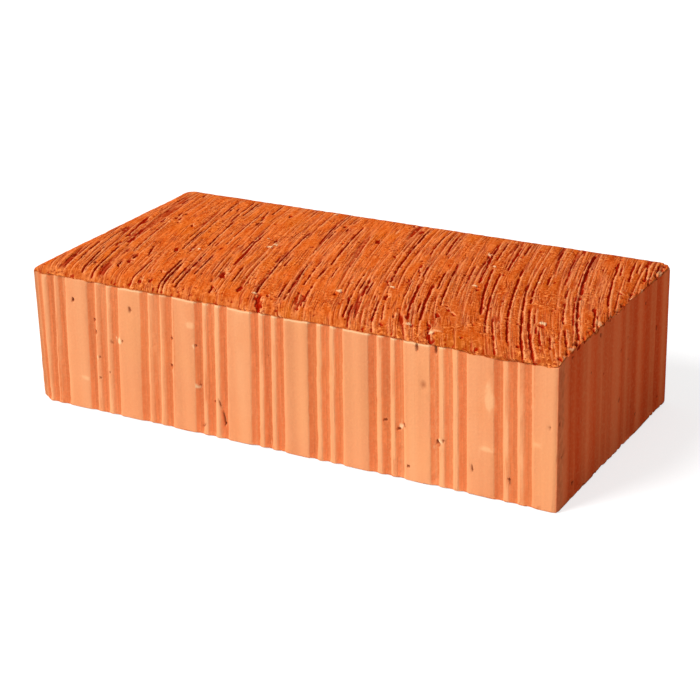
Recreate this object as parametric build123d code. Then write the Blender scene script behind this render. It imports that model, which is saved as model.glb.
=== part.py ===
from build123d import *
import os

# A solid fired clay brick. The clay column leaves its die with grooves along all four sides and is
# then cut by a wire, so the grooves run the full height. The lower bed is plain, and grit dragged by
# the wire tore furrows in the upper bed.
# Millimetres. The origin is the middle of the lower bed, X along the length, Y across it, Z up.

# Overall size
LENGTH = 250.0
WIDTH = 120.0
HEIGHT = 65.0

# Edges
CORNER_RADIUS = 2.5
ARRIS_RADIUS = 1.2

# One groove, a trapezoid that narrows to a flat floor
GROOVE_WIDTH = 4.8
GROOVE_FLOOR = 2.4
GROOVE_DEPTH = 1.2

# Grooves stand close together in groups, with flat lands between the groups
GROOVES_PER_GROUP = 3
GROOVE_PITCH = 6.1
STRETCHER_GROUP_PITCH = 27.8
STRETCHER_START = 0.4
STRETCHER_END_LAND = 6.0
HEADER_GROUP_PITCH = 26.6
HEADER_END_LAND = 6.0

# The strongest furrows that grit on the cutting wire tore in the upper bed, V shaped. Each is given by
# where the wire had crossed the back edge, as a share of the length from the left, and by where the
# furrow starts and ends, as shares of the width from the back edge
FURROW_WIDTH = 1.4
FURROW_DEPTH = 0.8
FURROWS = [
    (0.024, 0.67, 0.96),
    (0.096, 0.73, 0.96),
    (0.140, 0.38, 0.63),
    (0.156, 0.69, 0.96),
    (0.170, 0.03, 0.28),
    (0.210, 0.10, 0.52),
    (0.258, 0.35, 0.70),
    (0.331, 0.28, 0.90),
    (0.380, 0.50, 0.93),
    (0.423, 0.10, 0.55),
    (0.486, 0.73, 0.96),
    (0.542, 0.03, 0.62),
    (0.591, 0.55, 0.91),
    (0.640, 0.30, 0.74),
    (0.690, 0.04, 0.49),
    (0.719, 0.33, 0.90),
    (0.776, 0.38, 0.96),
    (0.866, 0.03, 0.72),
    (0.913, 0.05, 0.48),
    (0.959, 0.03, 0.19),
]

# How the wire drifted to the right on its way to the front edge, at the left and right ends of the
# brick: its lean at the back edge, and how much more it leaned by the front edge
LEFT_DRIFT = (0.12, 0.16)
RIGHT_DRIFT = (0.20, 0.30)

# How far a cutting bar runs past the faces that it cuts
OVERRUN = 1.0

GROUP_WIDTH = (GROOVES_PER_GROUP - 1) * GROOVE_PITCH + GROOVE_WIDTH


def blank():
    """The brick before grooving, with its corners and arrises rounded."""
    block = Box(LENGTH, WIDTH, HEIGHT, align=(Align.CENTER, Align.CENTER, Align.MIN))
    block = fillet(block.edges().filter_by(Axis.Z), CORNER_RADIUS)
    beds = block.faces().filter_by(Axis.Z)
    return fillet(beds.edges(), ARRIS_RADIUS)


def groove_bar():
    """What one groove takes away: its mouth starts at the origin and runs along +X, floor at +Y."""
    lean = (GROOVE_WIDTH - GROOVE_FLOOR) / 2
    slope = lean / GROOVE_DEPTH
    outline = Polyline(
        (-OVERRUN * slope, -OVERRUN),
        (lean, GROOVE_DEPTH),
        (lean + GROOVE_FLOOR, GROOVE_DEPTH),
        (GROOVE_WIDTH + OVERRUN * slope, -OVERRUN),
        close=True,
    )
    return Pos(0, 0, -OVERRUN) * extrude(make_face(outline), HEIGHT + 2 * OVERRUN)


def group_count(run, pitch):
    """How many groups of grooves fit along a stretch of face."""
    return int((run - GROUP_WIDTH) / pitch) + 1


def stretcher_groups():
    """Where each group starts along a long side, from its left end."""
    count = group_count(LENGTH - STRETCHER_START - STRETCHER_END_LAND, STRETCHER_GROUP_PITCH)
    return [STRETCHER_START + i * STRETCHER_GROUP_PITCH for i in range(count)]


def header_groups():
    """Where each group starts along a short side: the pattern is centred."""
    count = group_count(WIDTH - 2 * HEADER_END_LAND, HEADER_GROUP_PITCH)
    start = (WIDTH - (count - 1) * HEADER_GROUP_PITCH - GROUP_WIDTH) / 2
    return [start + i * HEADER_GROUP_PITCH for i in range(count)]


def side_planes():
    """Each side as a plane at its left end: X runs along the side, Y points into the brick."""
    x, y = LENGTH / 2, WIDTH / 2
    front = Plane((-x, -y, 0), x_dir=(1, 0, 0), z_dir=(0, 0, 1))
    right = Plane((x, -y, 0), x_dir=(0, 1, 0), z_dir=(0, 0, 1))
    back = Plane((x, y, 0), x_dir=(-1, 0, 0), z_dir=(0, 0, 1))
    left = Plane((-x, y, 0), x_dir=(0, -1, 0), z_dir=(0, 0, 1))
    return [
        (front, stretcher_groups()),
        (right, header_groups()),
        (back, stretcher_groups()),
        (left, header_groups()),
    ]


def groove_bars():
    """The cutting bars of every groove on the four sides."""
    bar = groove_bar()
    bars = []
    for side, groups in side_planes():
        for group in groups:
            for i in range(GROOVES_PER_GROUP):
                bars.append(side.location * Pos(group + i * GROOVE_PITCH, 0, 0) * bar)
    return bars


def wire_place(across, forward):
    """The point of the upper bed where the wire was once it had come that far from the back edge, by
    where it had crossed that edge. The drift grows evenly from the left end to the right end."""
    left, right = [
        lean * forward + gain * forward**2 / (2 * WIDTH) for lean, gain in (LEFT_DRIFT, RIGHT_DRIFT)
    ]
    x = (across + (left + right) / 2) / (1 - (right - left) / LENGTH)
    return Vector(x, WIDTH / 2 - forward, HEIGHT)


def furrow_bar(crossing, start, end):
    """What one furrow takes away: a V that follows the wire."""
    across = (crossing - 0.5) * LENGTH
    way = ThreePointArc([wire_place(across, share * WIDTH) for share in (start, (start + end) / 2, end)])
    reach = FURROW_WIDTH / 2 * (1 + OVERRUN / FURROW_DEPTH)
    section = Polyline((-reach, OVERRUN), (0, -FURROW_DEPTH), (reach, OVERRUN), close=True)
    upright = Plane(way @ 0, x_dir=Vector(0, 0, 1).cross(way % 0), z_dir=way % 0)
    return sweep(upright * make_face(section), way)


def brick():
    """The whole brick, one solid."""
    furrow_bars = [furrow_bar(*furrow) for furrow in FURROWS]
    return blank() - groove_bars() - furrow_bars


os.makedirs("parts", exist_ok=True)
export_step(brick(), "parts/brick.step")
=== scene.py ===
import math

import bpy
import numpy as np
from mathutils import Matrix, Vector
from mathutils.bvhtree import BVHTree


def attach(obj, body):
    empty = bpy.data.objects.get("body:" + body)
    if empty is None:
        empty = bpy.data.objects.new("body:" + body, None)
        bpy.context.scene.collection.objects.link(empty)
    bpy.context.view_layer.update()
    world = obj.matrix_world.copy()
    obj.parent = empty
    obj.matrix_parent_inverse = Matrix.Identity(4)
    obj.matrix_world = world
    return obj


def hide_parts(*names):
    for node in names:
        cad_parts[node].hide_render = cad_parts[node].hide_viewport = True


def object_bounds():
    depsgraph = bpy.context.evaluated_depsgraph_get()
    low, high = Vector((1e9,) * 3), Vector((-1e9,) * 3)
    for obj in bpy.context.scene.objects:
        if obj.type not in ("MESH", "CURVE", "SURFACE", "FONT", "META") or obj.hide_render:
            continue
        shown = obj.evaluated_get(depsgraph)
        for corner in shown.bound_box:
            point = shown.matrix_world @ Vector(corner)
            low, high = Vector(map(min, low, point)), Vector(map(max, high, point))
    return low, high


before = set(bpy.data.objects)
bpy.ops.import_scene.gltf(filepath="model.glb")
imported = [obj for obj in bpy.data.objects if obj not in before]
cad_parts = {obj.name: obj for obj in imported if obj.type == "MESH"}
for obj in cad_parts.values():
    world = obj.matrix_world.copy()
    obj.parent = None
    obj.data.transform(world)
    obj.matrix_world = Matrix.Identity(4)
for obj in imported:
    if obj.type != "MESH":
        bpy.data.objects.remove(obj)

# A solid fired clay brick. Its four sides are the smooth, grooved skin that the die left, and its two
# beds are torn by the cutting wire. Lengths are in millimetres until the mesh is made, in metres.

MM = 0.001
SEED = 41

CAD_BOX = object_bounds()
LOW = np.array(CAD_BOX[0]) / MM
HIGH = np.array(CAD_BOX[1]) / MM
LENGTH, WIDTH, HEIGHT = HIGH - LOW
HALF_LENGTH = LENGTH / 2
HALF_WIDTH = WIDTH / 2
GIRTH = 2 * (LENGTH + WIDTH)

# The fine grid that the relief is modelled on, before it is thinned out. Its rows are closer together
# near the edges, and the lower bed keeps that share of its triangles
GRID_X = 0.25
GRID_Y = 0.6
GRID_Z = 0.9
GRID_EDGE = 0.35
TRIANGLES = 196000
LOWER_SHARE = 0.035

# Relief maps: one value every MAP_STEP, reaching MAP_MARGIN past the edges that they wrap over
MAP_STEP = 0.2
MAP_MARGIN = 8.0

# How the wire moved: across the bed from the back edge to the front edge, drifting to the right.
# Sideways for each mm forwards, at the left end and the right end, and how much of it is added by the
# front edge, at the left end and beyond that at the right end
DRIFT_START = (0.12, 0.20)
DRIFT_GAIN = (0.16, 0.14)

# How far from a corner the way into the brick turns, and how far from an edge its rounding reaches
CORNER_ZONE = 5.0
EDGE_BAND = 6.0

# How far the lands lie inside the box, how deep the grooves' floors are, and how much of the torn
# relief is left past an edge
LAND_INSET = 0.08
GROOVE_FLOOR_DEPTH = 1.2
EDGE_RELIEF = 0.7

# An edge that turns more than this is shaded sharp
SHARP_EDGE = math.radians(22)

# The four edges of the upper bed, as front, right, back and left: how far the bed sags there, how
# round the edge is, and how far the torn clay reaches over it
SAG = (2.4, 0.7, 0.4, 2.0)
SAG_REACH = 10.0
UPPER_RADIUS = (1.5, 1.0, 0.8, 1.2)
TORN_REACH = (1.6, 1.3, 1.0, 1.2)

# The pale line below the torn clay on the front, a painted highlight where the top of the lands turns
# to the light: how far below, how wide, and between which places along the side it comes and goes
LIP_BELOW = 1.2
LIP_WIDTH = 0.95
LIP_COMES = (20, 55)
LIP_GOES = (206, 200)

# The band round that border that isn't thinned out: its middle below it, and where it fades
KEPT_BELOW = 0.9
KEPT_FADE = (1.9, 1.5)

# Where along the front the torn clay starts to reach further over the edge
WORN_END = (203, 215)

# How far the grooves are smeared shut, as shares: at the top, at the bottom, and how much more at the
# bottom of the right end
SMEARED_TOP = 0.75
SMEARED_BELOW = (0.35, 0.45)

# How far in from the front and right edges the torn clay crumbles, and the bites out of the right one:
# how far in they reach, and how deep
CRUMBLY_REACH = 6.0
BITTEN_REACH = 4.0
BITE_DEPTH = 2.2

# How much of a bed's marks a smooth place has lost, and how much of a bed lies below its level top
WIPED = 0.85
BELOW_TOP = 0.985

# How much of the right end's deeper, redder colour, which is painted shade, the back and the left end
# show, and how much less of it the scuffed strip beside the front right edge shows
BACK_TINT = 0.45
LEFT_TINT = 0.25
SCUFFED_PALER = 0.4

# How much less the front right corner is rounded off than the solid's, as a share
SHARP_CORNER = 0.32

# The wall that opens a groove slopes more gently than the one that ends it
OPENING_SLOPE = 0.6

# How far the front's grooves lean to the right from the bottom to the top, as places along the side
# and the lean there
FRONT_LEAN = [(0, 3.6), (75, 3.2), (125, 1.9), (190, 0.2), (250, -1.0)]

# Small marks strewn at random over a torn bed and over the sides. Those that fall on the front are
# left out, because its marks are placed as the photograph shows them
STRAY_SCRATCHES = 60
BED_SPECKS = 150
SIDE_SPECKS = 90


def blurred(grid, blur):
    """The grid under a Gaussian blur of that many cells along each axis. It tiles."""
    spectrum = np.fft.rfft2(grid)
    rows = np.fft.fftfreq(grid.shape[0])[:, None] * blur[0]
    columns = np.fft.rfftfreq(grid.shape[1])[None, :] * blur[1]
    spectrum *= np.exp(-2 * math.pi ** 2 * (rows ** 2 + columns ** 2))
    return np.fft.irfft2(spectrum, grid.shape)


def smooth_noise(rng, shape, blur):
    """White noise under that blur, with a spread of one."""
    noise = blurred(rng.standard_normal(shape), blur)
    return noise / noise.std()


def rise(value, start, end):
    """A smooth step from 0 at start to 1 at end."""
    t = np.clip((value - start) / (end - start), 0.0, 1.0)
    return t * t * (3 - 2 * t)


class ReliefMap:
    """Height, painted shade in hollows, tone with painted highlights and shade, and grit over a flat
    patch, on a grid of points MAP_STEP apart.
    """

    def __init__(self, rng, u_range, v_range):
        self.u, self.v = [np.arange(a, b + MAP_STEP / 2, MAP_STEP) for a, b in (u_range, v_range)]
        self.shape = (len(self.u), len(self.v))
        self.ragged = self.noise(rng, 0.4, 0.8)
        self.height, self.hollow_shade, self.tone, self.grit_and_highlight = np.zeros((4, *self.shape))

    def noise(self, rng, blur_u, blur_v):
        """Noise with features of about that size in millimetres."""
        return smooth_noise(rng, self.shape, (blur_u / MAP_STEP, blur_v / MAP_STEP))

    def lines(self, rng, spacing, length, width):
        """Long thin lines about that far apart, 1 along their middle: where a noise crosses zero."""
        blur = spacing / (math.pi * math.sqrt(2))
        reach = width / 2 / (blur * math.sqrt(2))
        return rise(np.abs(self.noise(rng, blur, length)), reach * 1.3, reach * 0.3)

    def read(self, grid, u, v):
        """Bilinear lookup of one of the map's grids. It wraps at the ends."""
        row = (u - self.u[0]) / MAP_STEP
        column = (v - self.v[0]) / MAP_STEP
        r0 = np.floor(row).astype(int)
        c0 = np.floor(column).astype(int)
        fr = row - r0
        fc = column - c0
        rows, columns = grid.shape
        ra, rb = r0 % rows, (r0 + 1) % rows
        ca, cb = c0 % columns, (c0 + 1) % columns
        near = grid[ra, ca] * (1 - fc) + grid[ra, cb] * fc
        far = grid[rb, ca] * (1 - fc) + grid[rb, cb] * fc
        return near * (1 - fr) + far * fr

    def window(self, u, v, reach_u, reach_v):
        """The part of the grid within reach of a point: its slices and its coordinates."""
        rows = slice(*np.searchsorted(self.u, (u - reach_u, u + reach_u)))
        columns = slice(*np.searchsorted(self.v, (v - reach_v, v + reach_v)))
        return (rows, columns), self.u[rows, None], self.v[None, columns]

    def pit(self, rng, u, v, radius, depth, stretch=1.0):
        """A small hole with an uneven rim, stretched along v, with painted shade in its bowl."""
        part, uu, vv = self.window(u, v, radius * 2, radius * 2 * max(1, stretch))
        angle = np.arctan2(vv - v, uu - u)
        phase = rng.uniform(0, 2 * math.pi, 2)
        rim = 1 + 0.2 * np.cos(2 * angle + phase[0]) + 0.15 * np.cos(3 * angle + phase[1])
        rim += 0.12 * self.ragged[part]
        away = np.hypot(uu - u, (vv - v) / stretch) / (radius * rim)
        bowl = rise(away, 1.15, 0.45)
        self.height[part] -= depth * bowl
        self.hollow_shade[part] = np.maximum(self.hollow_shade[part], bowl)

    def gouge(self, rng, u0, v0, u1, v1, width, depth, lip=0.0, torn=0.12):
        """A furrow or tear between two points, with painted shade along its core. It starts shallow,
        ends round, and may have thrown up a ridge on its right, which gets a painted highlight. torn is
        how ragged its edges are, as a share of its width."""
        start, end = np.array((u0, v0), float), np.array((u1, v1), float)
        along = end - start
        length = np.hypot(*along)
        reach = np.abs(along) / 2 + 2 * width + 1
        part, uu, vv = self.window(*(start + end) / 2, *reach)
        along /= length
        gone = (uu - u0) * along[0] + (vv - v0) * along[1]
        wander = rng.uniform(-1, 1, 2)
        bend = 0.08 * width * (np.sin(gone / 3.5 + 3 * wander[0]) + np.sin(gone / 9 + 3 * wander[1]))
        side = (uu - u0) * along[1] - (vv - v0) * along[0] + bend
        ragged = torn * width * self.ragged[part]
        taper = rise(gone, 0, min(7.0, 0.4 * length)) * rise(length - gone, 0, min(2.0, 0.3 * length))
        half = width / 2 * (0.55 + 0.45 * taper)
        furrow = rise(np.abs(side) + ragged, half * 1.2, 0.0) * taper
        core = rise(np.abs(side + 0.15 * half) + ragged, half * 1.15, half * 0.4) * taper
        core *= 1 - 0.5 * rise(self.ragged[part], 0.2, 1.3)
        self.height[part] -= depth * furrow * (1 + torn * self.ragged[part])
        self.hollow_shade[part] = np.maximum(self.hollow_shade[part], core)
        ridge = np.exp(-((side + ragged - half - 0.3) / 0.3) ** 2) * taper * (lip > 0)
        self.height[part] += lip * ridge
        self.tone[part] = np.maximum(self.tone[part], ridge)

    def bead(self, u, v, radius, height):
        """A pale bit of grit that stands in the surface, with a hole torn behind it that gets painted
        shade.
        """
        part, uu, vv = self.window(u, v, radius * 3, radius * 3)
        uneven = 1 + 0.25 * self.ragged[part]
        away = np.hypot(uu - u, (vv - v) / 0.8) / radius * uneven
        behind = np.hypot(uu - u - 1.2 * radius, vv - v - 0.5 * radius) / radius * uneven
        hole = rise(behind, 1.0, 0.3) * rise(away, 0.8, 1.2)
        self.height[part] += height * rise(away, 1.1, 0.3) - 0.5 * hole
        self.hollow_shade[part] = np.maximum(self.hollow_shade[part] * rise(away, 0.8, 1.2), hole)
        self.grit_and_highlight[part] = np.maximum(self.grit_and_highlight[part], rise(away, 1.05, 0.7))

    def shade_hollows(self, reach, depth):
        """Adds what lies below its own surroundings to the painted shade of the hollows."""
        cells = reach / MAP_STEP
        below = blurred(self.height, (cells, cells)) - self.height
        self.hollow_shade = np.maximum(self.hollow_shade, rise(below, 0.15 * depth, depth))


def drift(x, forward):
    """Where the wire crossed the back edge on its way to the point (x, forward)."""
    share = np.clip((x + HALF_LENGTH) / LENGTH, 0, 1)
    start = DRIFT_START[0] + (DRIFT_START[1] - DRIFT_START[0]) * share
    gain = DRIFT_GAIN[0] + DRIFT_GAIN[1] * share
    return x - start * forward - gain * forward ** 2 / (2 * WIDTH)


def wire_flow(x, y):
    """Places in the wire's own coordinates, as vectors for the shader."""
    forward = HALF_WIDTH - y
    return np.stack([drift(x, forward), forward, 0 * forward], axis=2)


# The marks of the upper bed are placed where the wire made them: across is where it crossed the back
# edge, and forward is how far it had come. Furrows are (across, forward) twice, width, depth.
BED_FURROWS = [
    (-90.2, 2, -89.6, 26, 0.8, 0.45), (-82.6, 1, -82.2, 34, 0.9, 0.5),
    (-79.9, 1, -79.7, 25, 0.9, 0.65), (-80.8, 30, -80.2, 67, 0.9, 0.6),
    (-72.6, 12, -72.8, 63, 0.7, 0.45), (-70.1, 12, -69.8, 23, 0.9, 0.65),
    (-67.3, 1, -66.9, 18, 0.9, 0.6), (-122.4, 40, -120.8, 72, 1.6, 0.35),
    (-117.6, 55, -117.0, 79, 1.9, 0.4), (-125.4, 84, -124.4, 118, 0.9, 0.65),
    (-119.0, 80, -119.4, 120, 0.9, 0.65), (-130.4, 77, -130.6, 104, 0.8, 0.5),
    (-111.0, 40, -110.6, 88, 0.7, 0.3), (-98.0, 88, -100.6, 121, 0.8, 0.45),
    (-90.1, 45, -90.0, 76, 0.9, 0.6), (-85.6, 83, -87.3, 121, 1.0, 0.75),
    (-84.0, 86, -85.6, 121, 1.0, 0.75), (-80.5, 87, -81.6, 114, 0.8, 0.6),
    (-78.0, 72, -79.4, 116, 0.9, 0.65), (-73.6, 72, -75.2, 101, 0.8, 0.55),
    (-62.0, 36, -62.4, 70, 0.8, 0.4), (-60.4, 42, -61.2, 84, 1.3, 0.4),
    (-56.4, 79, -56.9, 102, 0.8, 0.6), (-41.0, 30, -42.4, 70, 0.9, 0.55),
    (-42.2, 62, -43.9, 108, 1.0, 0.7), (-39.0, 60, -39.3, 76, 0.7, 0.45),
    (-44.2, 63, -44.5, 73, 0.8, 0.45), (-32.9, 12, -32.1, 44, 0.6, 0.4),
    (-19.3, 12, -19.4, 66, 0.9, 0.6), (-24.7, 58, -26.0, 92, 0.9, 0.6),
    (-20.3, 66, -21.6, 84, 0.9, 0.55), (-21.6, 84, -22.8, 114, 0.8, 0.55),
    (-29.2, 60, -31.0, 112, 0.8, 0.45), (-32.6, 86, -33.6, 109, 0.9, 0.5),
    (-15.6, 63, -15.9, 80, 0.6, 0.4), (10.9, 1, 10.2, 74, 1.1, 0.75),
    (-2.4, 62, -3.4, 89, 0.8, 0.5), (-0.4, 66, -1.2, 91, 0.8, 0.5),
    (1.4, 70, 1.0, 94, 1.2, 0.6), (3.3, 72, 2.7, 91, 0.8, 0.5),
    (-3.1, 88, -4.1, 116, 1.0, 0.7), (-1.5, 98, -2.0, 121, 1.0, 0.7),
    (8.8, 90, 8.0, 121, 1.0, 0.7), (11.4, 92, 12.0, 113, 0.7, 0.45),
    (19.2, 64, 18.8, 89, 0.8, 0.5), (22.7, 44, 23.0, 62, 0.9, 0.6),
    (23.2, 66, 22.2, 109, 1.4, 0.7), (31.5, 46, 31.0, 72, 0.9, 0.6),
    (28.9, 64, 27.8, 107, 1.5, 0.65), (26.6, 85, 26.0, 100, 0.8, 0.5),
    (20.2, 5, 20.2, 36, 0.9, 0.4), (26.4, 4, 26.9, 33, 0.9, 0.55),
    (35.0, 36, 34.9, 89, 0.9, 0.65), (42.7, 36, 42.4, 61, 0.9, 0.6),
    (47.2, 4, 47.9, 59, 1.3, 0.55), (50.4, 3, 50.5, 30, 0.8, 0.5),
    (50.8, 36, 52.0, 91, 1.2, 0.65), (54.9, 40, 54.4, 108, 1.0, 0.65),
    (57.8, 6, 57.4, 40, 1.2, 0.45), (57.0, 88, 58.0, 121, 0.9, 0.6),
    (60.8, 1, 61.0, 20, 1.0, 0.65), (64.0, 32, 63.2, 113, 1.2, 0.7),
    (68.9, 46, 68.9, 121, 1.2, 0.75), (72.4, 26, 71.8, 72, 0.9, 0.65),
    (71.8, 72, 72.8, 121, 1.4, 0.8), (74.3, 72, 74.4, 91, 0.8, 0.55),
    (76.6, 1, 76.4, 18, 0.9, 0.6), (77.0, 32, 76.8, 49, 1.1, 0.7),
    (76.3, 93, 76.2, 110, 0.8, 0.5), (80.4, 96, 80.3, 111, 0.8, 0.5),
    (83.6, 8, 84.0, 46, 0.8, 0.45), (85.8, 46, 86.0, 87, 0.9, 0.65),
    (86.8, 88, 86.8, 107, 1.3, 0.75), (91.2, 1, 91.9, 98, 1.4, 0.8),
    (89.6, 8, 90.2, 94, 0.6, 0.35), (103.2, 6, 103.6, 62, 1.0, 0.6),
    (98.7, 62, 98.6, 92, 1.1, 0.7), (109.6, 3, 110.2, 31, 1.0, 0.6),
    (112.0, 3, 112.2, 20, 0.9, 0.5), (114.8, 1, 117.0, 25, 1.0, 0.7),
    (105.3, 12, 105.6, 26, 0.8, 0.45), (120.8, 2, 120.4, 17, 1.0, 0.6),
]

# Tears are short, deep and run any way. They are given as the furrows are.
BED_TEARS = [
    (-85.9, 14, -85.3, 20, 1.1, 0.8), (-98.4, 41, -96.6, 48, 1.5, 0.9),
    (-109.6, 29, -108.8, 42, 1.2, 0.7), (-106.8, 37, -106.2, 46, 1.0, 0.6),
    (-113.8, 40, -113.0, 49, 1.2, 0.6), (-120.8, 76, -120.6, 85, 1.3, 0.8),
    (-105.0, 73, -101.8, 90, 1.2, 0.8), (-107.6, 86, -107.2, 101, 1.7, 0.9),
    (-113.0, 102, -108.8, 108, 1.0, 0.8), (-92.6, 73, -92.2, 81, 1.3, 0.8),
    (-91.2, 101, -89.0, 105, 1.2, 0.8), (-96.9, 110, -96.6, 118, 1.1, 0.8),
    (-63.2, 82, -62.2, 100, 1.8, 0.8), (-63.9, 106, -63.6, 116, 1.3, 0.9),
    (-66.0, 100, -65.6, 106, 1.1, 0.8), (-52.1, 101, -51.5, 111, 2.0, 0.9),
    (-59.2, 13, -57.0, 18, 2.0, 0.9), (-52.2, 45, -51.8, 53, 1.3, 1.1),
    (-7.2, 25, -6.8, 33, 1.5, 0.7), (5.6, 38, 5.8, 46, 1.1, 0.8),
    (8.0, 6, 8.6, 13, 1.1, 0.8), (8.0, 70, 10.8, 78, 0.9, 0.7),
    (11.4, 79, 11.4, 93, 1.9, 1.3), (1.5, 1, 4.0, 5, 1.1, 0.8),
    (19.6, 46, 19.8, 58, 0.8, 0.6), (20.8, 54, 21.4, 65, 0.9, 0.7),
    (17.2, 65, 17.8, 71, 1.1, 0.8), (16.5, 102, 16.5, 110, 1.0, 0.8),
    (-42.2, 106, -41.0, 125, 3.0, 1.4), (-38.6, 107, -37.8, 111, 1.2, 0.8),
    (30.6, 103, 32.4, 123, 1.2, 1.1), (34.0, 95, 34.4, 102, 1.4, 0.8),
    (36.0, 88, 42.2, 97, 1.2, 0.9), (46.0, 24, 46.4, 29, 1.1, 0.8),
    (46.2, 32, 46.2, 37, 1.0, 0.7), (98.4, 63, 98.6, 69, 1.9, 1.0),
    (107.2, 40, 108.2, 46, 1.2, 0.7), (88.0, 90, 86.6, 93, 0.8, 0.6),
]

# Round pits, as (across, forward, radius, depth)
BED_PITS = [
    (-69.6, 22.5, 1.1, 0.8), (-121.9, 105.5, 0.9, 0.8), (-92.0, 113.5, 1.2, 0.8),
    (-28.0, 17.5, 0.9, 0.6), (-22.0, 38.0, 0.8, 0.7), (-10.7, 95.0, 1.1, 1.2),
    (-11.0, 62.0, 0.7, 0.6), (-26.0, 99.5, 0.8, 0.6), (-23.8, 102.5, 0.8, 0.6),
    (-24.0, 115.0, 0.8, 0.6), (0.8, 98.0, 0.9, 0.8), (12.0, 115.0, 1.0, 0.8),
    (58.3, 65.5, 0.8, 0.7), (77.3, 91.5, 1.3, 1.2), (47.8, 64.8, 1.2, 1.0),
    (80.0, 110.5, 0.9, 0.8), (76.4, 109.5, 0.9, 0.8), (82.4, 104.5, 0.7, 0.7),
    (116.4, 24.5, 1.2, 0.9), (49.6, 101.5, 0.8, 0.7), (45.2, 114.5, 0.9, 0.7),
    (67.4, 113.5, 0.9, 0.8), (83.6, 116.0, 0.9, 0.8),
]

# Pale grit, as (across, forward, radius)
BED_GRAINS = [
    (-83.0, 71.5, 1.1), (-52.9, 56.0, 1.5), (-51.2, 52.6, 1.1), (-44.4, 108.4, 1.2),
    (-9.9, 91.4, 1.4), (11.7, 77.6, 1.1), (23.2, 111.6, 1.3), (32.6, 114.6, 1.1),
    (46.4, 61.6, 1.4), (46.2, 24.0, 1.0), (51.0, 36.8, 1.0), (77.3, 88.4, 1.4),
    (-56.8, 46.6, 0.9), (72.8, 47.0, 0.8), (-38.2, 3.2, 1.0),
]

# Places that the wire left smooth, as (across, forward, half width, half length)
SMOOTH_PLACES = [
    (-98.0, 65, 6, 16), (-70.0, 108, 7, 14), (-14.0, 104, 8, 22), (-100.0, 112, 10, 10),
    (39.0, 95, 5, 14), (50.0, 114, 12, 8), (-36.0, 52, 4, 22), (-50.0, 112, 5, 10),
    (65.8, 92, 2, 22), (15.0, 96, 4, 16),
]

# Fine lines all over a bed, as how far apart, how long, how wide and how deep
WIRE_LINES = [(5.4, 34, 0.75, 0.42), (3.4, 26, 0.55, 0.26), (2.1, 22, 0.45, 0.17)]


def wire_marks(rng, calm):
    """Lines all over a bed in the wire's own coordinates: u across its path, v along it."""
    u_range = (-HALF_LENGTH - HALF_WIDTH, HALF_LENGTH + MAP_MARGIN)
    marks = ReliefMap(rng, u_range, (-MAP_MARGIN, WIDTH + MAP_MARGIN))
    marks.height += calm * (0.05 * marks.noise(rng, 1.6, 40) + 0.02 * marks.noise(rng, 0.5, 22))
    marks.height += calm * 0.05 * marks.noise(rng, 0.8, 1.6)
    frayed = rise(WIDTH - marks.v + 3.0 * marks.noise(rng, 3, 5), 0.0, 7.0)
    for spacing, length, width, depth in WIRE_LINES:
        present = rise(marks.noise(rng, 0.8 * spacing, 12), -0.2, 0.9) * (0.1 + 0.9 * frayed)
        line = marks.lines(rng, spacing, length, width) * present
        line *= 1 - 0.5 * rise(marks.ragged, 0.6, 1.4)
        # Each line gets painted shade, and the ridge that it throws up beside it a painted highlight
        ridge = np.roll(line, round(width / MAP_STEP), axis=0) * (1 - line)
        marks.height += calm * depth * (0.35 * ridge - line)
        marks.hollow_shade = np.maximum(marks.hollow_shade, line * min(0.7, 0.25 + depth))
        marks.tone = np.maximum(marks.tone, 0.8 * ridge)
    for i in range(int(STRAY_SCRATCHES * calm)):
        u = rng.uniform(marks.u[0], marks.u[-1])
        v = rng.uniform(0, WIDTH)
        end = (u + rng.normal(0, 0.3), v + rng.uniform(3, 14))
        marks.gouge(rng, u, v, *end, rng.uniform(0.6, 1.0), rng.uniform(0.3, 0.6), 0.08)
    return marks


def smooth_over(marks, patch):
    """Wipes the marks away where patch is 1."""
    for grid in (marks.height, marks.hollow_shade, marks.tone):
        grid *= 1 - WIPED * patch


def mark_upper_bed(rng, marks):
    """The smooth places, furrows, tears, pits and grit that stand out on the upper bed."""
    patch = np.zeros(marks.shape)
    ragged = marks.noise(rng, 1.2, 6)
    for across, forward, half_u, half_v in SMOOTH_PLACES:
        away = np.hypot((marks.u[:, None] - across) / half_u, (marks.v[None, :] - forward) / half_v)
        patch = np.maximum(patch, rise(away + 0.15 * ragged, 1.15, 0.75))
    smooth_over(marks, patch)
    for furrow in BED_FURROWS:
        marks.gouge(rng, *furrow, 0.14)
    for *ends, width, depth in BED_TEARS:
        marks.gouge(rng, *ends, width, 0.8 * depth, 0.10, torn=0.32)
    for pit in BED_PITS:
        marks.pit(rng, *pit, stretch=1.2)
    for u, v, radius in BED_GRAINS:
        marks.bead(u, v, 0.85 * radius, 0.4)


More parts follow.
